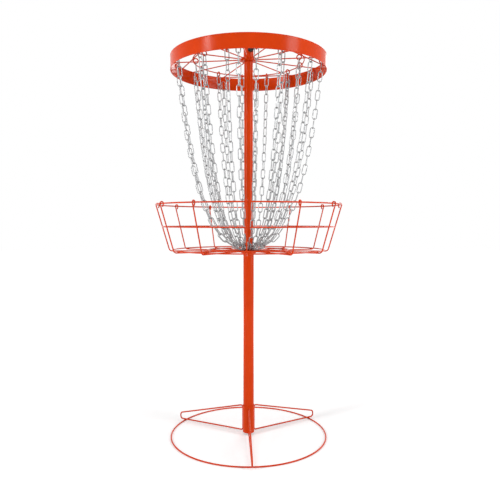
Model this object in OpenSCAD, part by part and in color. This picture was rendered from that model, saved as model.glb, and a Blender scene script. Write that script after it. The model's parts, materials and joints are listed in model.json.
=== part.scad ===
// Portable disc golf basket: a wire base, a two-part pole, a wire basket and a
// banded chain rack with twelve outer and twelve inner chains.
// Millimetres. Origin on the ground under the pole, +Z up, -Y is the front.

/* [Base] */
// Radius of the ground ring, to the middle of its wire
base_ring_r = 276; // [240:1:320]
// Diameter of the base wire
base_wire_d = 5; // [4:0.1:7]
// Depth of each leg's top bend below the sleeve's upper edge
leg_drop = 4; // [3:1:20]
// How far each leg reaches past the ground ring
leg_overhang = 19; // [13:1:30]
// Height of a leg's rounded outer end, between wire centres
leg_end_h = 22; // [16:0.5:30]
// Radius of the leg's bends against the sleeve
leg_bend_r = 7; // [5:0.5:9]
// Bottom of the sleeve above the ground
sleeve_z = 8.5; // [8.5:0.5:24]
// Height of the sleeve
sleeve_h = 96.5; // [80:0.5:130]
// Wall of the sleeve
sleeve_wall = 1.6; // [1.2:0.1:3]

/* [Pole] */
// Outer diameter of the lower pole
lower_pole_d = 38; // [36:0.5:45]
// Wall of the lower pole
lower_pole_wall = 1.5; // [1.2:0.1:3]
// Top of the lower pole, where the basket sits
shoulder_z = 651.5; // [600:1:720]
// Outer diameter of the upper pole
upper_pole_d = 32; // [26:0.5:33]
// Wall of the upper pole
upper_pole_wall = 1.5; // [1.2:0.1:3]
// Height of the upper pole's top end above the spokes' middle
pole_rise = 48; // [45:1:80]
// Length of the bush that steps the lower pole down to the upper one
bush_h = 110; // [60:1:160]
// Height of the bush's inner lip, which carries the upper pole
bush_lip_h = 4; // [2:0.5:8]
// Depth of the seat for the bush in the lower pole's wall
bush_seat = 0.3; // [0.2:0.05:0.6]
// Running clearance all round, between parts that slide
slide_gap = 0.1; // [0.05:0.01:0.2]
// Seat clearance between a welded wire and what carries it
weld_gap = 0.1; // [0.05:0.05:0.2]
// Depth of the black plug in the top of the pole
cap_plug_h = 14; // [8:1:25]
// Thickness of that plug's head
cap_head_h = 4; // [2:0.5:8]

/* [Basket] */
// Diameter of the basket wires
basket_wire_d = 4.5; // [3.5:0.1:6]
// Diameter of the rim wire
rim_wire_d = 5; // [4:0.1:6]
// Radius of the rim, to the middle of its wire
rim_r = 330; // [300:1:340]
// Height of the rim's middle above the basket's seat on the pole
rim_rise = 173.5; // [150:1:190]
// Radius at which the floor wires turn up
floor_r = 285; // [270:1:290]
// Radius of that bend
floor_bend_r = 12; // [8:1:20]
// Height of the middle ring above the floor wires
mid_ring_rise = 88; // [60:1:110]
// Height of the floor wires' middle above the shoulder of the pole
floor_rise = 7.5; // [5:0.5:9]
// Distance of the outer floor ring in from the upturn of the wires
floor_ring_inset = 14; // [13:1:40]
// Radius of the inner floor ring
floor_ring_inner_r = 146; // [100:1:180]
// Outer radius of the basket's hub
basket_hub_r = 27; // [24:0.5:40]
// Height of the basket's hub
basket_hub_h = 10; // [9.5:0.5:14]
// Centreline radius of the curl of a basket wire over the rim
hook_r = 6; // [5:0.5:9]
// Length of the straight inner leg of that curl
hook_leg = 10; // [8:0.5:20]

/* [Band and rack] */
// Outer radius of the band
band_r = 280; // [270:1:300]
// Height of the band
band_h = 50.5; // [40:0.5:70]
// Height of the band's bottom edge above the rim's middle
band_rise = 477; // [450:1:520]
// Sheet thickness of the band
band_t = 2; // [1:0.1:3]
// Diameter of the rack wires
rack_wire_d = 4; // [3:0.1:5]
// Height of the spokes' middle above the band's bottom edge
spoke_rise = 46; // [36:0.5:46.5]
// Radius of the rack's inner ring
rack_ring_r = 200; // [180:1:210]
// How far a brace wire cuts inside the rack's inner ring
brace_inset = 4; // [2:0.5:5]
// Outer diameter of a chain eye
eye_d = 21; // [19:0.5:24]
// Distance of the outer chains' eyes in from the band
outer_eye_inset = 16; // [14:0.5:35]
// Slant of the inner eyes below the level of their ring
inner_eye_tilt = 35; // [20:1:50]
// Outer diameter of the rack hub's sleeve
hub_sleeve_d = 36; // [34:0.5:42]
// Length of the rack hub's sleeve
hub_sleeve_h = 52; // [50:0.5:60]
// Outer radius of the rack hub's collar
hub_collar_r = 26; // [23:0.5:32]
// Height of the rack hub's collar
hub_collar_h = 12; // [8:0.5:16]
// Diameter of the lock knob
knob_d = 25; // [18:0.5:30]
// Thickness of the lock knob's head
knob_t = 12; // [8:0.5:16]
// Height of the lock knob's axis above the spokes' middle
knob_rise = 32; // [30:0.5:42]
// Clearance between the lock knob's head and the sleeve
knob_standoff = 3; // [1:0.5:6]
// Diameter of the lock knob's screw
knob_screw_d = 6; // [4:0.5:8]

/* [Chains] */
// Diameter of the chain wire
chain_wire_d = 3.2; // [2.5:0.1:3.6]
// Inner length of a link
link_inner_l = 34; // [32:0.1:34.5]
// Outer width of a link
link_w = 17.5; // [16:0.1:19]
// Play at each place where two links meet
link_play = 0.6; // [0.5:0.05:0.8]
// Play of a chain's end link on its eye or on the chain ring
end_play = 0.3; // [0.2:0.05:0.5]
// Length of an outer chain over the straight line between its ends
outer_slack = 1.05; // [1.03:0.005:1.06]
// Length of an inner chain over the straight line between its ends
inner_slack = 1.03; // [1.025:0.005:1.05]
// Radius of the chain ring, to the middle of its wire
chain_ring_r = 25; // [23:0.5:28]
// Diameter of the chain ring's wire
chain_ring_d = 3.2; // [2.5:0.1:3.6]
// Clearance between the lowest links and the basket's hub
hub_play = 0.5; // [0.3:0.1:6]

/* [Hidden] */

powder = "orangered";
zinc = "silver";
plastic = "#222222";
round_fn = 96;
wire_fn = 24;
// How much thinner a straight run is than a bend, and how far it bites into it
hair = 0.02;
bite = 0.05;

// Counts: three legs and braces, and twelve each of basket wires, spokes, outer
// chains and inner chains. Angles are counter-clockwise from +X
legs = 3;
braces = 3;
basket_wires = 12;
spokes = 12;
leg_angle_0 = -87.6;
spoke_angle_0 = 83;
spoke_step = 360 / spokes;
inner_angle_0 = spoke_angle_0 - spoke_step / 2;
wire_angle_0 = 89;
knob_angle = -74;

// Base
leg_low_z = base_wire_d * 1.5 + weld_gap;
sleeve_bore_r = lower_pole_d / 2 + slide_gap;
sleeve_r = sleeve_bore_r + sleeve_wall;
leg_in_r = sleeve_r + base_wire_d / 2 + weld_gap;
leg_out_r = base_ring_r + leg_overhang;
leg_top_z = sleeve_z + sleeve_h - leg_drop;
leg_end_flat = 3;
leg_end_r = (leg_end_h - leg_end_flat) / 2;

// Pole
lower_bore_r = lower_pole_d / 2 - lower_pole_wall;
upper_bore_r = upper_pole_d / 2 - upper_pole_wall;
bush_seat_r = lower_bore_r + bush_seat;
bush_r = bush_seat_r - weld_gap;
bush_bore_r = upper_pole_d / 2 + slide_gap;
bush_z = shoulder_z - bush_h;
bush_lip_r = upper_bore_r - 1;
upper_pole_z = bush_z + bush_lip_h + weld_gap;
cap_chamfer = 1;

// Basket
basket_hub_z = shoulder_z + weld_gap;
floor_wire_z = shoulder_z + floor_rise;
floor_ring_z = floor_wire_z + basket_wire_d + weld_gap;
floor_ring_outer_r = floor_r - floor_ring_inset;
rim_z = shoulder_z + rim_rise;
hook_centre = [rim_r + (rim_wire_d + basket_wire_d) / 2 + weld_gap - hook_r, rim_z];
floor_corner = [floor_r, floor_wire_z];
corner_to_hook = hook_centre - floor_corner;
side_slope = atan2(corner_to_hook[1], corner_to_hook[0]) - asin(hook_r / norm(corner_to_hook));
side_l = sqrt(corner_to_hook * corner_to_hook - hook_r * hook_r);
mid_ring_z = floor_wire_z + mid_ring_rise;
mid_ring_r = floor_r + mid_ring_rise / tan(side_slope)
             - (basket_wire_d + weld_gap) / sin(side_slope);

// Rack
band_z = rim_z + band_rise;
band_in_r = band_r - band_t;
spoke_z = band_z + spoke_rise;
pole_top_z = spoke_z + pole_rise;
rack_ring_z = spoke_z - rack_wire_d - weld_gap;
brace_z = rack_ring_z - rack_wire_d - weld_gap;
brace_r = rack_ring_r - brace_inset;
brace_end = sqrt(pow(band_in_r - weld_gap, 2) - pow(brace_r + rack_wire_d / 2, 2));
hub_z = spoke_z - hub_collar_h / 2;
hub_bore_r = upper_pole_d / 2 + weld_gap;
eye_r = (eye_d - rack_wire_d) / 2;
eye_reach = eye_r + rack_wire_d + weld_gap;
outer_chain_r = band_in_r - outer_eye_inset;
outer_eye_z = spoke_z - eye_reach;
inner_eye_r = rack_ring_r - eye_reach * cos(inner_eye_tilt);
inner_eye_z = rack_ring_z - eye_reach * sin(inner_eye_tilt);
knob_z = spoke_z + knob_rise;
knob_lobes = 7;
knob_lobe_r = knob_d / 8;
knob_lobe_step = 2;

// Chains
link_r = (link_w - chain_wire_d) / 2;
link_straight = link_inner_l + chain_wire_d - 2 * link_r;
link_pitch = link_inner_l - link_play;
chain_ring_z = basket_hub_z + basket_hub_h + hub_play + link_w / 2;
eye_drop = eye_r - (rack_wire_d + chain_wire_d) / 2 - end_play;
top_reach = (link_inner_l + chain_wire_d) / 2;
end_reach = (link_inner_l - chain_ring_d) / 2 - end_play;

// Hyperbolic functions, in radians
function sinh(u) = (exp(u) - exp(-u)) / 2;
function cosh(u) = (exp(u) + exp(-u)) / 2;
function asinh(v) = ln(v + sqrt(v * v + 1));
function atanh(v) = ln((1 + v) / (1 - v)) / 2;

// Half-span u of a catenary for which sinh(u)/u equals ratio, by bisection
function half_span(ratio, low = 0.01, high = 6, steps = 40) =
    let (mid = (low + high) / 2)
    steps == 0 ? mid
    : sinh(mid) / mid < ratio ? half_span(ratio, mid, high, steps - 1)
    : half_span(ratio, low, mid, steps - 1);

// Catenary from the chain ring up to an eye: [scale, start, arc length]
function catenary(run, rise, length) =
    let (u = half_span(sqrt(length * length - rise * rise) / run))
    [run / (2 * u), atanh(rise / length) - u, length];
function chain_length(links) = (links - 1) * link_pitch + top_reach + end_reach;
function link_count(run, rise, slack) =
    1 + round((norm([run, rise]) * slack - top_reach - end_reach) / link_pitch);

// A point [radius, height, slope angle] at arc length s above the chain ring
function chain_point(curve, s) =
    let (v = sinh(curve[1]) + s / curve[0], u = asinh(v))
    [chain_ring_r + curve[0] * (u - curve[1]),
     chain_ring_z + curve[0] * (cosh(u) - cosh(curve[1])),
     atan(v)];

// ---- Wires ----

// A bent wire is a list of steps [run, angle, radius]: a straight run, and then a
// bend through that angle to the left, which is 0 after the last run
function turn(a, b, c) =
    let (u = b - a, v = c - b)
    atan2(u[0] * v[1] - u[1] * v[0], u * v);

// Steps through points in the working plane, each inner corner bent to its radius
function steps_through(points, radii) =
    let (last = len(points) - 1,
         turns = [for (i = [0:last]) i == 0 || i == last ? 0 : turn(points[i - 1], points[i], points[i + 1])],
         trims = [for (i = [0:last]) radii[i] * tan(turns[i] / 2)])
    [for (i = [0:last - 1])
        [norm(points[i + 1] - points[i]) - trims[i] - trims[i + 1], turns[i + 1], radii[i + 1]]];

// Step i of a bent wire and all after it, starting along x from the origin. A run
// is a hair thinner than a bend and bites into it, so that the two fuse cleanly
module wire_from(steps, d, i) {
    run = steps[i][0];
    angle = steps[i][1];
    r = steps[i][2];
    bite_in = i > 0 ? bite : 0;
    bite_out = angle > 0 ? bite : 0;
    translate([-bite_in, 0, 0]) rotate([0, 90, 0])
        cylinder(d = d - 2 * hair, h = run + bite_in + bite_out, $fn = wire_fn);
    if (angle > 0) translate([run, r, 0]) {
        rotate([0, 0, -90]) rotate_extrude(angle = angle, $fn = round_fn)
            translate([r, 0]) circle(d = d, $fn = wire_fn);
        rotate([0, 0, angle]) translate([0, -r, 0]) wire_from(steps, d, i + 1);
    }
}

// A bent wire from a point, setting out towards a heading
module bent_wire(start, heading, steps, d) {
    translate([start[0], start[1], 0]) rotate([0, 0, heading]) wire_from(steps, d, 0);
}

// Stands the working plane upright, along a radius at angle a
module radial(a) {
    rotate([90, 0, a]) children();
}

module wire_ring(r, z, d) {
    translate([0, 0, z]) rotate_extrude($fn = round_fn) translate([r, 0]) circle(d = d, $fn = wire_fn);
}

module tube(r_out, r_in, z, h) {
    translate([0, 0, z]) difference() {
        cylinder(r = r_out, h = h, $fn = round_fn);
        translate([0, 0, -1]) cylinder(r = r_in, h = h + 2, $fn = round_fn);
    }
}

// ---- Base ----

module base_ring() {
    color(powder) wire_ring(base_ring_r, base_wire_d / 2, base_wire_d);
}

// One leg: a wire loop standing against the sleeve and over the ring, its two
// ends butted halfway up the sleeve
module base_leg(n) {
    joint = [leg_in_r, (sleeve_z + leg_top_z) / 2];
    low_in = [leg_in_r, sleeve_z + base_wire_d / 2];
    low_out = [leg_out_r, leg_low_z];
    high_out = [leg_out_r, leg_low_z + leg_end_h];
    high_in = [leg_in_r, leg_top_z];
    steps = steps_through([joint, low_in, low_out, high_out, high_in, joint + [0, weld_gap]],
                          [0, leg_bend_r, leg_end_r, leg_end_r, leg_bend_r, 0]);
    color(powder) radial(leg_angle_0 + 360 / legs * (n - 1)) bent_wire(joint, -90, steps, base_wire_d);
}

module base_sleeve() {
    color(powder) tube(sleeve_r, sleeve_bore_r, sleeve_z, sleeve_h);
}

// ---- Pole ----

module lower_pole() {
    color(powder) difference() {
        tube(lower_pole_d / 2, lower_bore_r, sleeve_z, shoulder_z - sleeve_z);
        translate([0, 0, bush_z]) cylinder(r = bush_seat_r, h = bush_h + 1, $fn = round_fn);
    }
}

// Plastic bush: fills the step between the poles, and its lip carries the upper one
module pole_bush() {
    color(plastic) translate([0, 0, bush_z]) difference() {
        cylinder(r = bush_r, h = bush_h, $fn = round_fn);
        translate([0, 0, bush_lip_h]) cylinder(r = bush_bore_r, h = bush_h, $fn = round_fn);
        translate([0, 0, -1]) cylinder(r = bush_lip_r, h = bush_h, $fn = round_fn);
    }
}

module upper_pole() {
    color(powder) tube(upper_pole_d / 2, upper_bore_r, upper_pole_z, pole_top_z - upper_pole_z);
}

module pole_cap() {
    color(plastic) translate([0, 0, pole_top_z]) rotate_extrude($fn = round_fn) polygon([
        [0, -cap_plug_h],
        [upper_bore_r - weld_gap, -cap_plug_h],
        [upper_bore_r - weld_gap, weld_gap],
        [upper_pole_d / 2, weld_gap],
        [upper_pole_d / 2, cap_head_h - cap_chamfer],
        [upper_pole_d / 2 - cap_chamfer, cap_head_h],
        [0, cap_head_h]]);
}

// ---- Basket ----

module basket_hub() {
    color(powder) tube(basket_hub_r, bush_bore_r, basket_hub_z, basket_hub_h);
}

// One wire: out along the floor, straight up the side, and curled over the rim
module basket_wire(n) {
    start = [basket_hub_r + weld_gap, floor_wire_z];
    side_end = floor_corner + side_l * [cos(side_slope), sin(side_slope)];
    steps = steps_through([start, floor_corner, side_end], [0, floor_bend_r, 0]);
    hook = [[steps[1][0], 360 - 2 * side_slope, hook_r], [hook_leg, 0, 0]];
    color(powder) radial(wire_angle_0 + 360 / basket_wires * (n - 1))
        bent_wire(start, 0, concat([steps[0]], hook), basket_wire_d);
}

module basket_rim() {
    color(powder) wire_ring(rim_r, rim_z, rim_wire_d);
}

module basket_mid_ring() {
    color(powder) wire_ring(mid_ring_r, mid_ring_z, basket_wire_d);
}

module basket_floor_ring_outer() {
    color(powder) wire_ring(floor_ring_outer_r, floor_ring_z, basket_wire_d);
}

module basket_floor_ring_inner() {
    color(powder) wire_ring(floor_ring_inner_r, floor_ring_z, basket_wire_d);
}

// ---- Band and rack ----

module band() {
    color(powder) tube(band_r, band_in_r, band_z, band_h);
}

module rack_hub() {
    color(powder) difference() {
        union() {
            translate([0, 0, hub_z]) cylinder(r = hub_collar_r, h = hub_collar_h, $fn = round_fn);
            translate([0, 0, hub_z]) cylinder(d = hub_sleeve_d, h = hub_sleeve_h, $fn = round_fn);
        }
        translate([0, 0, hub_z - 1]) cylinder(r = hub_bore_r, h = hub_sleeve_h + 2, $fn = round_fn);
        translate([0, 0, knob_z]) rotate([0, 90, knob_angle])
            cylinder(d = knob_screw_d + 2 * slide_gap, h = hub_sleeve_d, $fn = wire_fn * 2);
    }
}

module rack_ring() {
    color(powder) wire_ring(rack_ring_r, rack_ring_z, rack_wire_d);
}

module rack_spokes() {
    color(powder) for (i = [0:spokes - 1])
        rotate([0, 0, spoke_angle_0 + spoke_step * i]) translate([hub_collar_r + weld_gap, 0, spoke_z])
            rotate([0, 90, 0])
                cylinder(d = rack_wire_d, h = band_in_r - hub_collar_r - 2 * weld_gap, $fn = wire_fn);
}

// Straight chords across the rack, just outside the hub of the inner eyes
module rack_braces() {
    color(powder) for (i = [0:braces - 1])
        rotate([0, 0, spoke_angle_0 + 360 / braces * i]) translate([brace_r, 0, brace_z])
            rotate([90, 0, 0]) cylinder(d = rack_wire_d, h = 2 * brace_end, center = true, $fn = wire_fn);
}

// A closed eye in a radial plane
module eye(r, z) {
    translate([r, z, 0]) rotate_extrude($fn = 48) translate([eye_r, 0]) circle(d = rack_wire_d, $fn = wire_fn);
}

module outer_eyes() {
    color(powder) for (i = [0:spokes - 1])
        radial(spoke_angle_0 - spoke_step * i) eye(outer_chain_r, outer_eye_z);
}

module inner_eyes() {
    color(powder) for (i = [0:spokes - 1])
        radial(inner_angle_0 - spoke_step * i) eye(inner_eye_r, inner_eye_z);
}

// Knob and its screw in one moulding, along the working axis
module lock_knob() {
    tip = upper_pole_d / 2 + weld_gap;
    head = hub_sleeve_d / 2 + knob_standoff;
    rim = knob_d / 2 - knob_lobe_r;
    color(plastic) translate([0, 0, knob_z]) rotate([0, 90, knob_angle]) {
        translate([0, 0, tip]) cylinder(d = knob_screw_d, h = head - tip, $fn = wire_fn * 2);
        translate([0, 0, head]) cylinder(r = rim, h = knob_t, $fn = round_fn);
        for (i = [0:knob_lobes - 1]) rotate([0, 0, 360 / knob_lobes * i])
            translate([rim, 0, head]) cylinder(r = knob_lobe_r, h = knob_t - knob_lobe_step, $fn = 32);
    }
}

// ---- Chains ----

module chain_ring() {
    color(zinc) wire_ring(chain_ring_r, chain_ring_z, chain_ring_d);
}

// One link, along the working x axis, in the plane turned by roll about it
module link(roll) {
    rotate([roll, 0, 0]) for (s = [0, 1]) rotate([0, 0, 180 * s]) {
        translate([-link_straight / 2, link_r, 0]) rotate([0, 90, 0])
            cylinder(d = chain_wire_d, h = link_straight, $fn = wire_fn);
        translate([link_straight / 2, 0, 0]) rotate([0, 0, -90])
            rotate_extrude(angle = 180, $fn = 48) translate([link_r, 0]) circle(d = chain_wire_d, $fn = wire_fn);
    }
}

// A chain of links from the chain ring up to its eye. Its lowest link stands in
// the radial plane and its highest across it, so an odd count twists by 90 degrees
module chain(a, slack, top_r, top_z) {
    run = top_r - chain_ring_r;
    rise = top_z - chain_ring_z;
    links = link_count(run, rise, slack);
    curve = catenary(run, rise, chain_length(links));
    twist = links % 2 == 0 ? 0 : 90 / (links - 1);
    color(zinc) radial(a) for (i = [0:links - 1]) {
        p = chain_point(curve, end_reach + link_pitch * i);
        translate([p[0], p[1], 0]) rotate([0, 0, p[2]]) link((90 + twist) * i);
    }
}

module outer_chain(n) {
    chain(spoke_angle_0 - spoke_step * (n - 1), outer_slack, outer_chain_r, outer_eye_z - eye_drop);
}

module inner_chain(n) {
    chain(inner_angle_0 - spoke_step * (n - 1), inner_slack, inner_eye_r, inner_eye_z - eye_drop);
}

base_ring();
base_leg(1);  // base_leg_1
base_leg(2);  // base_leg_2
base_leg(3);  // base_leg_3
base_sleeve();
lower_pole();
pole_bush();
upper_pole();
pole_cap();
basket_hub();
basket_rim();
basket_mid_ring();
basket_floor_ring_outer();
basket_floor_ring_inner();
basket_wire(1);  // basket_wire_01
basket_wire(2);  // basket_wire_02
basket_wire(3);  // basket_wire_03
basket_wire(4);  // basket_wire_04
basket_wire(5);  // basket_wire_05
basket_wire(6);  // basket_wire_06
basket_wire(7);  // basket_wire_07
basket_wire(8);  // basket_wire_08
basket_wire(9);  // basket_wire_09
basket_wire(10);  // basket_wire_10
basket_wire(11);  // basket_wire_11
basket_wire(12);  // basket_wire_12
band();
rack_hub();
rack_ring();
rack_spokes();
rack_braces();
inner_eyes();
outer_eyes();
lock_knob();
chain_ring();
outer_chain(1);  // outer_chain_01
outer_chain(2);  // outer_chain_02
outer_chain(3);  // outer_chain_03
outer_chain(4);  // outer_chain_04
outer_chain(5);  // outer_chain_05
outer_chain(6);  // outer_chain_06
outer_chain(7);  // outer_chain_07
outer_chain(8);  // outer_chain_08
outer_chain(9);  // outer_chain_09
outer_chain(10);  // outer_chain_10
outer_chain(11);  // outer_chain_11
outer_chain(12);  // outer_chain_12
inner_chain(1);  // inner_chain_01
inner_chain(2);  // inner_chain_02
inner_chain(3);  // inner_chain_03
inner_chain(4);  // inner_chain_04
inner_chain(5);  // inner_chain_05
inner_chain(6);  // inner_chain_06
inner_chain(7);  // inner_chain_07
inner_chain(8);  // inner_chain_08
inner_chain(9);  // inner_chain_09
inner_chain(10);  // inner_chain_10
inner_chain(11);  // inner_chain_11
inner_chain(12);  // inner_chain_12
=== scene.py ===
"""The looks of a portable disc golf basket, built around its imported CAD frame.

Metres, +Z up, the pole on the Z axis and -Y towards the camera. Places come from
the frame's boxes. Sizes that the boxes don't give are named below, or in the
function that builds the piece.
"""
import json
import math

import bmesh
import bpy
import numpy as np
from mathutils import Matrix, Vector, noise

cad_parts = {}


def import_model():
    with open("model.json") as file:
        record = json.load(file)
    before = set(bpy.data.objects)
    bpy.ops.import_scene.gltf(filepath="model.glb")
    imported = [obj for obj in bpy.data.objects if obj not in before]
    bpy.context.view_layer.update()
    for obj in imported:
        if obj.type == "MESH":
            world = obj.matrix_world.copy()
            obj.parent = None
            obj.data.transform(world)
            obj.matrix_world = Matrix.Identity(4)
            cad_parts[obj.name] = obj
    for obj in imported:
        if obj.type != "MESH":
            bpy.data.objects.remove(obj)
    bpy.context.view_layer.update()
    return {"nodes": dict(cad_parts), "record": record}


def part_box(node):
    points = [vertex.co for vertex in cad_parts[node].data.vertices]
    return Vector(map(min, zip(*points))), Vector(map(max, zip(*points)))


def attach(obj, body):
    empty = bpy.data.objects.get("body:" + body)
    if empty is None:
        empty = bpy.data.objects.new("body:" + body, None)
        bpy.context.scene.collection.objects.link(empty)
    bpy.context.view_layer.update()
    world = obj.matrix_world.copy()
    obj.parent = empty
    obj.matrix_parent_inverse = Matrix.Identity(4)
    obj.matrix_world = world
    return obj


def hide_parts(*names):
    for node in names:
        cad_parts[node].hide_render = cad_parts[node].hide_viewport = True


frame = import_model()

MM = 0.001
CHAINS = sorted(name for name in frame["nodes"] if "_chain_" in name)

# Angles about the pole, in degrees counter-clockwise from +X, as in the CAD
SPOKE_ANGLES = [83 + 30 * i for i in range(12)]
INNER_EYE_ANGLES = [68 + 30 * i for i in range(12)]
WIRE_ANGLES = [89 + 30 * i for i in range(12)]
BRACE_ANGLES = [83 + 120 * i for i in range(3)]
LEG_ANGLES = [-87.6 + 120 * i for i in range(3)]
KNOB_ANGLE = -74
BAND_SEAM_ANGLE = 127.0
BASKET_BUTT_ANGLES = [75 + 90 * i for i in range(4)]
BASE_BUTT_ANGLE = 40

BAND_FACETS = 240

# Sizes that the frame's boxes don't give, as in the CAD
OUTER_EYE_R = 262 * MM
EYE_TILT = 35
BRACE_INSET = 4 * MM
CHAIN_WIRE_R = 1.6 * MM

# Weld beads: (radius, length)
SPOT_WELD = (2.6 * MM, 1.2 * MM)
SPOKE_RING_BEAD = (2.1 * MM, 5.4 * MM)
EYE_BEAD = (1.9 * MM, 5.0 * MM)
BRACE_RING_BEAD = (2.0 * MM, 6.5 * MM)
BRACE_BAND_BEAD = (2.4 * MM, 7.0 * MM)
MID_RING_BEAD = (2.1 * MM, 6.2 * MM)
FLOOR_RING_BEAD = (2.1 * MM, 6.0 * MM)
RIM_BEAD = (1.9 * MM, 6.0 * MM)
LEG_RING_BEAD = (2.3 * MM, 7.5 * MM)
LEG_SLEEVE_BEAD = (1.5 * MM, 15 * MM)

# Weld collars around a wire: (inner radius, outer radius, length)
SPOKE_HUB_COLLAR = (1.6 * MM, 3.4 * MM, 2.6 * MM)
SPOKE_BAND_COLLAR = (1.6 * MM, 3.2 * MM, 2.2 * MM)
WIRE_HUB_COLLAR = (1.8 * MM, 2.9 * MM, 2.8 * MM)

# Butt welds in a wire: (height above the wire, length)
BASKET_BUTT = (0.45 * MM, 3.2 * MM)
BASE_BUTT = (0.4 * MM, 3.4 * MM)
LINK_BUTT = (0.35 * MM, 2.4 * MM)
BUTT_DEPTH = 0.5 * MM

# Where a weld's middle lies, from the face that it is on
OFF_HUB = 0.4 * MM
OFF_SLEEVE = 0.8 * MM
SPOKE_OFF_BAND = 0.6 * MM
BRACE_OFF_BAND = 1.2 * MM

# Vertices that agree to so many digits of a metre are one
MERGE_DIGITS = 6

# The camera: level, its lens shifted down, its focal length in frame widths
CAMERA_DISTANCE = 1.977
CAMERA_HEIGHT = 0.7634
CAMERA_SIDE = 0.0052
FOCAL_FRAMES = 1.096
SENSOR = 36.0
LENS_SHIFT = -0.056
FAR_CLIP = 100

# Surround and floor. The floor's glow is for seen rays only, and grows with the
# distance from the pole.
AMBIENT = 0.26
FLOOR_COLOUR = 0.86
FLOOR_RADIUS = 14
FLOOR_DROP = 0.2 * MM
GLOW_START, GLOW_FULL = 0.3, 2.0
FLOOR_GLOW_NEAR = 0.28
FLOOR_GLOW_FAR = 0.85

# Lamps, all aimed at one point: (name, place, width, height, watts)
LAMP_TARGET = (0, 0, 0.75)
LAMPS = (
    ("key", (-2.65, -1.75, 1.7), 0.45, 2.2, 66),
    ("fill", (2.8, -1.5, 1.5), 0.80, 2.4, 62),
    ("top", (0.0, -0.2, 3.4), 2.6, 2.6, 22),
    ("back", (0.9, 2.9, 2.1), 1.4, 1.8, 24),
)

# Colour ramps over noise: (place, colour)
COAT_STOPS = (
    (0.30, (0.63, 0.044, 0.0012)),
    (0.55, (0.67, 0.048, 0.0015)),
    (0.75, (0.71, 0.053, 0.002)),
)
ZINC_STOPS = (
    (0.30, (0.235, 0.24, 0.245)),
    (0.55, (0.33, 0.335, 0.34)),
    (0.75, (0.43, 0.43, 0.43)),
)
PLASTIC_STOPS = (
    (0.3, (0.007, 0.007, 0.0075)),
    (0.7, (0.013, 0.013, 0.0135)),
)


# ---- Frame sizes ----

def ring_of(node):
    """(radius, height, wire radius) of a CAD ring about the pole."""
    low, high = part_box(node)
    wire = (high[2] - low[2]) / 2
    return high[0] - wire, (high[2] + low[2]) / 2, wire


def at(radius, angle, z):
    """The point at that radius, angle in degrees and height."""
    a = math.radians(angle)
    return Vector((radius * math.cos(a), radius * math.sin(a), z))


def outward(angle):
    """The level direction from the pole at that angle."""
    return at(1.0, angle, 0.0)


def along(angle):
    """The level direction at right angles to outward(angle)."""
    return at(1.0, angle + 90, 0.0)


# ---- Materials ----

def add_node(tree, kind, **values):
    """A new node of that kind, with those inputs set."""
    node = tree.nodes.new(kind)
    for name, value in values.items():
        node.inputs[name.replace("_", " ")].default_value = value
    return node


class Nodes:
    """A material's node tree with its Principled shader."""

    def __init__(self, name):
        self.material = bpy.data.materials.new(name)
        self.material.use_nodes = True
        self.tree = self.material.node_tree
        self.shader = self.tree.nodes["Principled BSDF"]
        self.coords = self.tree.nodes.new("ShaderNodeTexCoord")

    def link(self, source, target):
        self.tree.links.new(source, target)

    def noise(self, scale, detail):
        """Noise over the surface, in the object's own metres."""
        node = add_node(self.tree, "ShaderNodeTexNoise", Scale=scale, Detail=detail, Roughness=0.5)
        self.link(self.coords.outputs["Object"], node.inputs["Vector"])
        return node.outputs["Fac"]

    def colour(self, source, stops):
        """Colours the surface by the source, along a ramp of (place, colour)."""
        node = self.tree.nodes.new("ShaderNodeValToRGB")
        elements = node.color_ramp.elements
        while len(elements) < len(stops):
            elements.new(0.5)
        for element, (place, colour) in zip(elements, stops):
            element.position = place
            element.color = (*colour, 1.0)
        self.link(source, node.inputs["Fac"])
        self.link(node.outputs["Color"], self.shader.inputs["Base Color"])

    def roughen(self, source, low, high):
        """Roughness from low to high, over the middle of the source's range."""
        node = add_node(self.tree, "ShaderNodeMapRange",
                        From_Min=0.3, From_Max=0.7, To_Min=low, To_Max=high)
        self.link(source, node.inputs["Value"])
        self.link(node.outputs["Result"], self.shader.inputs["Roughness"])

    def bump(self, *layers):
        """Chains a bump node for each (height, strength, distance)."""
        last = None
        for height, strength, distance in layers:
            node = add_node(self.tree, "ShaderNodeBump", Strength=strength, Distance=distance)
            self.link(height, node.inputs["Height"])
            if last is not None:
                self.link(last, node.inputs["Normal"])
            last = node.outputs["Normal"]
        self.link(last, self.shader.inputs["Normal"])


def powder_coat():
    """Semi-gloss orange powder coat: a fine orange peel over a slightly uneven film."""
    m = Nodes("orange_powder_coat")
    m.colour(m.noise(14.0, 4.0), COAT_STOPS)
    m.roughen(m.noise(60.0, 3.0), 0.16, 0.24)
    m.shader.inputs["Specular IOR Level"].default_value = 0.10
    m.bump((m.noise(900.0, 1.0), 0.10, 0.2 * MM), (m.noise(110.0, 2.0), 0.05, 0.6 * MM))
    return m.material


def zinc_plate():
    """Bright zinc on drawn wire: grey, faintly blue, with dull patches and fine rubbing."""
    m = Nodes("zinc_plate")
    m.colour(m.noise(70.0, 4.0), ZINC_STOPS)
    m.shader.inputs["Metallic"].default_value = 1.0
    m.roughen(m.noise(160.0, 3.0), 0.26, 0.48)
    m.bump((m.noise(1400.0, 2.0), 0.12, 0.1 * MM))
    return m.material


def black_plastic():
    """Moulded black nylon with a fine grain."""
    m = Nodes("black_plastic")
    m.colour(m.noise(40.0, 2.0), PLASTIC_STOPS)
    m.roughen(m.noise(220.0, 2.0), 0.38, 0.52)
    m.shader.inputs["Specular IOR Level"].default_value = 0.22
    m.bump((m.noise(1600.0, 1.0), 0.18, 0.15 * MM))
    return m.material


MATERIAL_OF = {"orange_powder_coat": powder_coat(), "zinc_plate": zinc_plate(),
               "black_plastic": black_plastic()}


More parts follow.
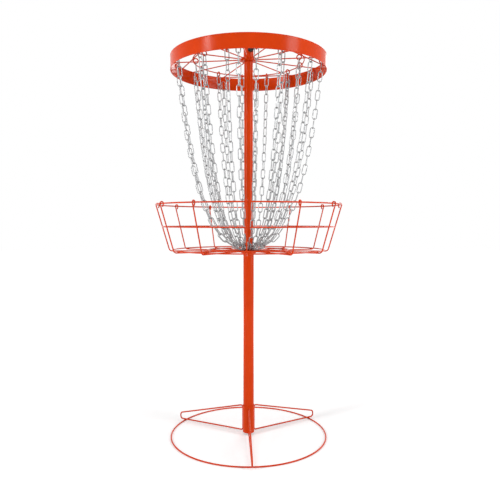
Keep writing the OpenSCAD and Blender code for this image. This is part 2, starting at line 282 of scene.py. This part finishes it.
def dress_frame():
    """Gives every CAD node its slot's material."""
    for part in frame["record"]["subparts"]:
        materials = frame["nodes"][part["node"]].data.materials
        materials.clear()
        materials.append(MATERIAL_OF[part["material_slot"]])


# ---- Pieces ----

def place_object(name, data, location=(0, 0, 0), rotation=(0, 0, 0)):
    """A new object in the scene."""
    item = bpy.data.objects.new(name, data)
    item.location = location
    item.rotation_euler = rotation
    bpy.context.scene.collection.objects.link(item)
    return item


def mesh_data(name, mesh, material):
    """Turns the bmesh into mesh data of that material."""
    data = bpy.data.meshes.new(name)
    mesh.to_mesh(data)
    mesh.free()
    data.materials.append(material)
    return data


def finish_piece(name, mesh, body, slot):
    """Makes the bmesh a smooth piece of that name, riding on a CAD body."""
    bmesh.ops.recalc_face_normals(mesh, faces=mesh.faces)
    data = mesh_data(name, mesh, MATERIAL_OF[slot])
    for face in data.polygons:
        face.use_smooth = True
    piece = place_object(name, data)
    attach(piece, body)
    return piece


def axes_of(direction):
    """A rotation that takes +Z to direction."""
    return direction.to_track_quat("Z", "Y").to_matrix().to_4x4()


def ring_point(radius, turn, z):
    """The point at that radius, turn in radians and height."""
    return Vector((radius * math.cos(turn), radius * math.sin(turn), z))


def skin_rings(mesh, rings):
    """Joins closed rings of vertices, the last one to the first, with quads."""
    turns, steps = len(rings), len(rings[0])
    for i in range(turns):
        here, following = rings[i], rings[(i + 1) % turns]
        for j in range(steps):
            k = (j + 1) % steps
            mesh.faces.new((here[j], following[j], following[k], here[k]))


def add_bead(mesh, centre, direction, radius, length, seed, lumps=0.12):
    """Adds a weld bead: an uneven rounded blob, long along direction."""
    made = bmesh.ops.create_uvsphere(mesh, u_segments=12, v_segments=8, radius=1.0)
    place = Matrix.Translation(centre) @ axes_of(direction)
    for vertex in made["verts"]:
        lump = 1 + lumps * noise.noise(vertex.co * 1.7 + Vector((seed, 0.37 * seed, 0)))
        shaped = Vector((vertex.co.x * radius, vertex.co.y * radius, vertex.co.z * length / 2))
        vertex.co = place @ (shaped * lump)


def add_collar(mesh, centre, direction, inner, outer, length, seed):
    """Adds an uneven ring of weld around a wire that runs along direction."""
    place = Matrix.Translation(centre) @ axes_of(direction)
    turns, steps = 14, 8
    middle = (inner + outer) / 2
    rings = []
    for i in range(turns):
        a = 2 * math.pi * i / turns
        swell = 1 + 0.18 * noise.noise(ring_point(3, a, seed))
        ring = []
        for j in range(steps):
            b = 2 * math.pi * j / steps
            r = middle + (outer - inner) / 2 * math.cos(b) * swell
            z = length / 2 * math.sin(b) * swell
            ring.append(mesh.verts.new(place @ ring_point(r, a, z)))
        rings.append(ring)
    skin_rings(mesh, rings)


def add_butt(mesh, centre, direction, wire, size, seed):
    """Adds the butt weld of a wire of that radius, of a size (height, length)."""
    height, length = size
    add_collar(mesh, centre, direction, wire - BUTT_DEPTH, wire + height, length, seed)


def add_lathe(mesh, profile, turns, place=Matrix(), lobes=0, depth=0.0):
    """Adds a closed (radius, height) outline turned about z, its rim waved in lobes."""
    rings = []
    widest = max(r for r, _ in profile)
    for i in range(turns):
        a = 2 * math.pi * i / turns
        wave = depth * (0.5 - 0.5 * math.cos(lobes * a))
        ring = []
        for r, z in profile:
            r -= wave * (r / widest) ** 6
            ring.append(mesh.verts.new(place @ ring_point(r, a, z)))
        rings.append(ring)
    skin_rings(mesh, rings)


def arc(centre, radius, start, end, steps):
    """Points (radius, height) on an arc, angles in degrees."""
    points = []
    for i in range(steps + 1):
        a = math.radians(start + (end - start) * i / steps)
        points.append((centre[0] + radius * math.cos(a), centre[1] + radius * math.sin(a)))
    return points


# ---- Band ----

def band_hoop():
    """The band: a thin sheet hoop whose upper and lower edges are rolled to a hem."""
    low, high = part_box("band")
    half_sheet = 1.3 * MM / 2
    hem = 1.4 * MM
    fall = 1.8 * hem
    middle = high[0] - 0.75 * hem
    top = (middle, high[2] - hem)
    bottom = (middle, low[2] + hem)
    outline = arc(top, hem, -60, 240, 12)
    outline += [(middle - half_sheet, top[1] - fall), (middle - half_sheet, bottom[1] + fall)]
    outline += arc(bottom, hem, 120, 420, 12)
    outline += [(middle + half_sheet, bottom[1] + fall), (middle + half_sheet, top[1] - fall)]
    mesh = bmesh.new()
    add_lathe(mesh, outline, BAND_FACETS)
    piece = finish_piece("band_hoop", mesh, "mast", "orange_powder_coat")
    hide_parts("band")


def band_seam():
    """The lap where the hoop's ends meet, behind, with its column of spot welds.

    The lap is flush with the hoop's outer face, and the welds stand out of it.
    """
    low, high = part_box("band")
    outer = high[0]
    margin = 8 * MM
    height = high[2] - low[2] - margin
    middle = (high[2] + low[2]) / 2
    foot, head = middle - height / 2, middle + height / 2
    width = 22 * MM
    thick = 0.84 * MM
    edge = 0.15
    columns = 8
    spots, spot_spread = 4, 0.72
    inside = outer - 1.25 * MM
    spot_r = outer - 0.9 * MM
    mesh = bmesh.new()
    rows = []
    for i in range(columns + 1):
        a = BAND_SEAM_ANGLE + math.degrees(width / outer) * (i / columns - 0.5)
        outside = inside + thick * (edge if i in (0, columns) else 1.0)
        rows.append([mesh.verts.new(at(r, a, z)) for r, z in
                     ((inside, foot), (inside, head), (outside, head), (outside, foot))])
    for left, right in zip(rows, rows[1:]):
        for j in range(4):
            mesh.faces.new((left[j], right[j], right[(j + 1) % 4], left[(j + 1) % 4]))
    mesh.faces.new(rows[0])
    mesh.faces.new(rows[-1])
    for i in range(spots):
        z = middle + height * (i / (spots - 1) - 0.5) * spot_spread
        add_bead(mesh, at(spot_r, BAND_SEAM_ANGLE, z), outward(BAND_SEAM_ANGLE),
                 *SPOT_WELD, i, lumps=0.05)
    finish_piece("band_seam", mesh, "mast", "orange_powder_coat")


# ---- Welds ----
#
# The last number of a weld is its seed. Each set of welds on a piece has its own,
# so that no two sets are lumped alike.

def rack_welds():
    """Welds where the rack's wires meet the hub, the ring, the band and the eyes."""
    mesh = bmesh.new()
    ring_r, ring_z, wire = ring_of("rack_ring")
    spoke_low, spoke_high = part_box("rack_spokes")
    spoke_z = (spoke_low[2] + spoke_high[2]) / 2
    band_in = max(spoke_high[0], spoke_high[1])
    hub_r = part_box("rack_hub")[1][1]
    eye_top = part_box("outer_eyes")[1][2]
    for i, a in enumerate(SPOKE_ANGLES):
        out = outward(a)
        add_collar(mesh, at(hub_r + OFF_HUB, a, spoke_z), out, *SPOKE_HUB_COLLAR, i)
        add_collar(mesh, at(band_in - SPOKE_OFF_BAND, a, spoke_z), out, *SPOKE_BAND_COLLAR, i + 20)
        add_bead(mesh, at(ring_r, a, (spoke_z + ring_z) / 2), out, *SPOKE_RING_BEAD, i + 40)
        add_bead(mesh, at(OUTER_EYE_R, a, eye_top), out, *EYE_BEAD, i + 60)
    tilt = math.radians(EYE_TILT)
    touch_r, touch_z = ring_r - wire * math.cos(tilt), ring_z - wire * math.sin(tilt)
    for i, a in enumerate(INNER_EYE_ANGLES):
        add_bead(mesh, at(touch_r, a, touch_z), along(a), *EYE_BEAD, i + 80)
    brace_low, brace_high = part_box("rack_braces")
    brace_z = (brace_low[2] + brace_high[2]) / 2
    to_ring = math.degrees(math.acos((ring_r - BRACE_INSET) / ring_r))
    to_band = math.degrees(math.acos((ring_r - BRACE_INSET) / band_in))
    for i, a in enumerate(BRACE_ANGLES):
        for side in (-1, 1):
            cross = a + side * to_ring
            add_bead(mesh, at(ring_r, cross, (ring_z + brace_z) / 2), along(cross),
                     *BRACE_RING_BEAD, i + 100)
            end = a + side * to_band
            add_bead(mesh, at(band_in - BRACE_OFF_BAND, end, brace_z), along(end),
                     *BRACE_BAND_BEAD, i + 110)
    finish_piece("rack_weld_beads", mesh, "mast", "orange_powder_coat")


def basket_welds():
    """Welds where the basket's wires meet its rings and hub, and each ring's butt weld."""
    mesh = bmesh.new()
    mid_r, mid_z, wire = ring_of("basket_mid_ring")
    out_r, floor_z, _ = ring_of("basket_floor_ring_outer")
    in_r, _, _ = ring_of("basket_floor_ring_inner")
    rim_r, rim_z, rim_wire = ring_of("basket_rim")
    wire_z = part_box("basket_wire_01")[0][2] + wire
    hub_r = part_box("basket_hub")[1][0]
    for i, a in enumerate(WIRE_ANGLES):
        ring_way = along(a)
        add_bead(mesh, at(mid_r + 1.04 * wire, a, mid_z), ring_way, *MID_RING_BEAD, i)
        add_bead(mesh, at(out_r, a, (floor_z + wire_z) / 2), ring_way, *FLOOR_RING_BEAD, i + 20)
        add_bead(mesh, at(in_r, a, (floor_z + wire_z) / 2), ring_way, *FLOOR_RING_BEAD, i + 40)
        add_collar(mesh, at(hub_r + OFF_HUB, a, wire_z), outward(a), *WIRE_HUB_COLLAR, i + 60)
        add_bead(mesh, at(rim_r + rim_wire, a, rim_z), ring_way, *RIM_BEAD, i + 80)
    rings = ((rim_r, rim_z, rim_wire), (mid_r, mid_z, wire),
             (out_r, floor_z, wire), (in_r, floor_z, wire))
    for i, (a, (radius, z, thick)) in enumerate(zip(BASKET_BUTT_ANGLES, rings)):
        add_butt(mesh, at(radius, a, z), along(a), thick, BASKET_BUTT, i + 90)
    finish_piece("basket_weld_beads", mesh, "stand", "orange_powder_coat")


def base_welds():
    """Welds where the legs meet the sleeve and the ground ring, and the ring's butt weld."""
    mesh = bmesh.new()
    ring_r, ring_z, wire = ring_of("base_ring")
    sleeve_low, sleeve_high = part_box("base_sleeve")
    sleeve_r = sleeve_high[0]
    beside_wire = math.degrees(1.7 * MM / sleeve_r)
    wire_heights = (0.22, 0.78)
    lowest = 0.1 * MM
    for i, a in enumerate(LEG_ANGLES):
        add_bead(mesh, at(ring_r, a, ring_z + wire), outward(a), *LEG_RING_BEAD, i)
        for j, share in enumerate(wire_heights):
            z = sleeve_low[2] + share * (sleeve_high[2] - sleeve_low[2])
            for side in (-1, 1):
                spot = at(sleeve_r + OFF_SLEEVE, a + side * beside_wire, z)
                add_bead(mesh, spot, Vector((0, 0, 1)), *LEG_SLEEVE_BEAD,
                         10 * i + 3 * j + side, lumps=0.2)
    add_butt(mesh, at(ring_r, BASE_BUTT_ANGLE, ring_z), along(BASE_BUTT_ANGLE), wire, BASE_BUTT, 7)
    for vertex in mesh.verts:
        vertex.co.z = max(vertex.co.z, lowest)
    finish_piece("base_weld_beads", mesh, "stand", "orange_powder_coat")


def islands(points, faces):
    """Groups of vertex numbers joined by faces, with equal points taken as one."""
    keys = {}
    same = [keys.setdefault(tuple(np.round(p, MERGE_DIGITS)), i) for i, p in enumerate(points)]
    parent = list(range(len(points)))

    def root(i):
        while parent[i] != i:
            parent[i] = parent[parent[i]]
            i = parent[i]
        return i

    for face in faces:
        first = root(same[face[0]])
        for corner in face[1:]:
            parent[root(same[corner])] = first
    groups = {}
    for i in range(len(points)):
        groups.setdefault(root(same[i]), []).append(i)
    return list(groups.values())


def link_welds(chain):
    """The small butt weld on one side of each link of a chain."""
    data = frame["nodes"][chain].data
    points = np.array([v.co[:] for v in data.vertices])
    faces = [list(p.vertices) for p in data.polygons]
    mesh = bmesh.new()
    for i, group in enumerate(islands(points, faces)):
        cloud = points[group]
        centre = (cloud.max(0) + cloud.min(0)) / 2
        unique = np.unique(np.round(cloud, MERGE_DIGITS), axis=0)
        long_way, wide_way, _ = np.linalg.svd(unique - unique.mean(0), full_matrices=False)[2]
        half_width = float(np.abs((cloud - centre) @ wide_way).max()) - CHAIN_WIRE_R
        side = 1 if i % 2 else -1
        spot = Vector(centre) + Vector(wide_way) * (side * half_width)
        add_butt(mesh, spot, Vector(long_way), CHAIN_WIRE_R, LINK_BUTT, i)
    finish_piece(chain + "_welds", mesh, chain, "zinc_plate")


# ---- Lock knob ----

def lock_knob():
    """A seven-lobed knob with a soft edge and a waisted neck, on a threaded screw.

    Both are turned about the screw's axis, and measured along it from the pole's axis.
    """
    low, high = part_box("lock_knob")
    z = (low[2] + high[2]) / 2
    place = Matrix.Translation(Vector((0, 0, z))) @ axes_of(outward(KNOB_ANGLE))
    radius = (high[2] - low[2]) / 2
    core = 0.2 * MM
    tip = 16.1 * MM
    head = 21.0 * MM
    thick = 12.0 * MM
    shoulder = head + 3 * MM
    soft = 2.2 * MM
    grip = [(core, head), (0.42 * radius, head), (0.55 * radius, shoulder)]
    grip += arc((radius - soft, shoulder + soft), soft, -80, 0, 5)
    grip += arc((radius - soft, head + thick - soft), soft, 0, 80, 5)
    grip += [(0.62 * radius, head + thick - 0.15 * MM), (0.5 * radius, head + thick - 1.1 * MM),
             (core, head + thick - 1.4 * MM)]
    mesh = bmesh.new()
    add_lathe(mesh, grip, 84, place, lobes=7, depth=3.2 * MM)
    knob = finish_piece("lock_knob_grip", mesh, "knob", "black_plastic")
    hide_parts("lock_knob")

    root = 2.6 * MM
    crest = root + 0.35 * MM
    pitch = 1.0 * MM
    length = head + 1.5 * MM - tip
    thread = [(core, tip), (root - 0.5 * MM, tip)]
    for i in range(int(length / pitch)):
        base = tip + 0.3 * MM + i * pitch
        thread += [(root, base + 0.1 * pitch), (crest, base + 0.45 * pitch),
                   (root, base + 0.8 * pitch)]
    thread += [(root, tip + length), (core, tip + length)]
    screw = bmesh.new()
    add_lathe(screw, thread, 32, place)
    finish_piece("lock_knob_screw", screw, "knob", "zinc_plate")


# ---- Stage ----

def camera():
    data = bpy.data.cameras.new("camera")
    data.sensor_width = SENSOR
    data.lens = FOCAL_FRAMES * SENSOR
    data.shift_y = LENS_SHIFT
    data.clip_end = FAR_CLIP
    bpy.context.scene.camera = place_object(
        "camera", data, (CAMERA_SIDE, -CAMERA_DISTANCE, CAMERA_HEIGHT), (math.radians(90), 0, 0))


def seen_rays(tree):
    """A factor of 1 on camera, glossy and transmission rays."""
    path = tree.nodes.new("ShaderNodeLightPath")
    total = path.outputs["Is Camera Ray"]
    for name in ("Is Glossy Ray", "Is Transmission Ray"):
        node = tree.nodes.new("ShaderNodeMath")
        node.operation = "MAXIMUM"
        tree.links.new(total, node.inputs[0])
        tree.links.new(path.outputs[name], node.inputs[1])
        total = node.outputs[0]
    return total


def world():
    """A soft even surround that is seen, and mirrored, as white."""
    item = bpy.data.worlds.new("studio")
    item.use_nodes = True
    tree = item.node_tree
    tree.nodes.clear()
    ambient = add_node(tree, "ShaderNodeBackground", Color=(1, 1, 1, 1), Strength=AMBIENT)
    white = add_node(tree, "ShaderNodeBackground", Color=(1, 1, 1, 1), Strength=1.0)
    mix = tree.nodes.new("ShaderNodeMixShader")
    output = tree.nodes.new("ShaderNodeOutputWorld")
    tree.links.new(seen_rays(tree), mix.inputs["Fac"])
    tree.links.new(ambient.outputs[0], mix.inputs[1])
    tree.links.new(white.outputs[0], mix.inputs[2])
    tree.links.new(mix.outputs[0], output.inputs["Surface"])
    bpy.context.scene.world = item


def floor():
    """A white floor that keeps a soft shadow near the object.

    The lamps make it white there, and far from them its own glow does.
    """
    material = bpy.data.materials.new("floor_white")
    material.use_nodes = True
    tree = material.node_tree
    tree.nodes.clear()
    matt = add_node(tree, "ShaderNodeBsdfDiffuse",
                    Color=(FLOOR_COLOUR, FLOOR_COLOUR, FLOOR_COLOUR, 1))
    lift = tree.nodes.new("ShaderNodeEmission")
    coords = tree.nodes.new("ShaderNodeTexCoord")
    distance = tree.nodes.new("ShaderNodeVectorMath")
    distance.operation = "LENGTH"
    tree.links.new(coords.outputs["Object"], distance.inputs[0])
    glow = add_node(tree, "ShaderNodeMapRange", From_Min=GLOW_START, From_Max=GLOW_FULL,
                    To_Min=FLOOR_GLOW_NEAR, To_Max=FLOOR_GLOW_FAR)
    glow.interpolation_type = "SMOOTHSTEP"
    tree.links.new(distance.outputs["Value"], glow.inputs["Value"])
    strength = tree.nodes.new("ShaderNodeMath")
    strength.operation = "MULTIPLY"
    tree.links.new(seen_rays(tree), strength.inputs[0])
    tree.links.new(glow.outputs["Result"], strength.inputs[1])
    tree.links.new(strength.outputs[0], lift.inputs["Strength"])
    both = tree.nodes.new("ShaderNodeAddShader")
    output = tree.nodes.new("ShaderNodeOutputMaterial")
    tree.links.new(matt.outputs[0], both.inputs[0])
    tree.links.new(lift.outputs[0], both.inputs[1])
    tree.links.new(both.outputs[0], output.inputs["Surface"])
    mesh = bmesh.new()
    bmesh.ops.create_circle(mesh, cap_ends=True, segments=64, radius=FLOOR_RADIUS)
    item = place_object("floor", mesh_data("floor", mesh, material), (0, 0, -FLOOR_DROP))


def lamps():
    """Tall soft boxes at both sides in front, a wide one overhead and a weak one behind."""
    for name, place, width, height, power in LAMPS:
        data = bpy.data.lights.new(name, "AREA")
        data.shape = "RECTANGLE"
        data.size = width
        data.size_y = height
        data.energy = power
        aim = (Vector(LAMP_TARGET) - Vector(place)).to_track_quat("-Z", "Y").to_euler()
        place_object(name, data, place, aim)


# ---- Building ----

camera()
world()
floor()
lamps()
dress_frame()
band_hoop()
band_seam()
rack_welds()
basket_welds()
base_welds()
for chain in CHAINS:
    link_welds(chain)
lock_knob()

bpy.context.scene.view_settings.view_transform = "Standard"
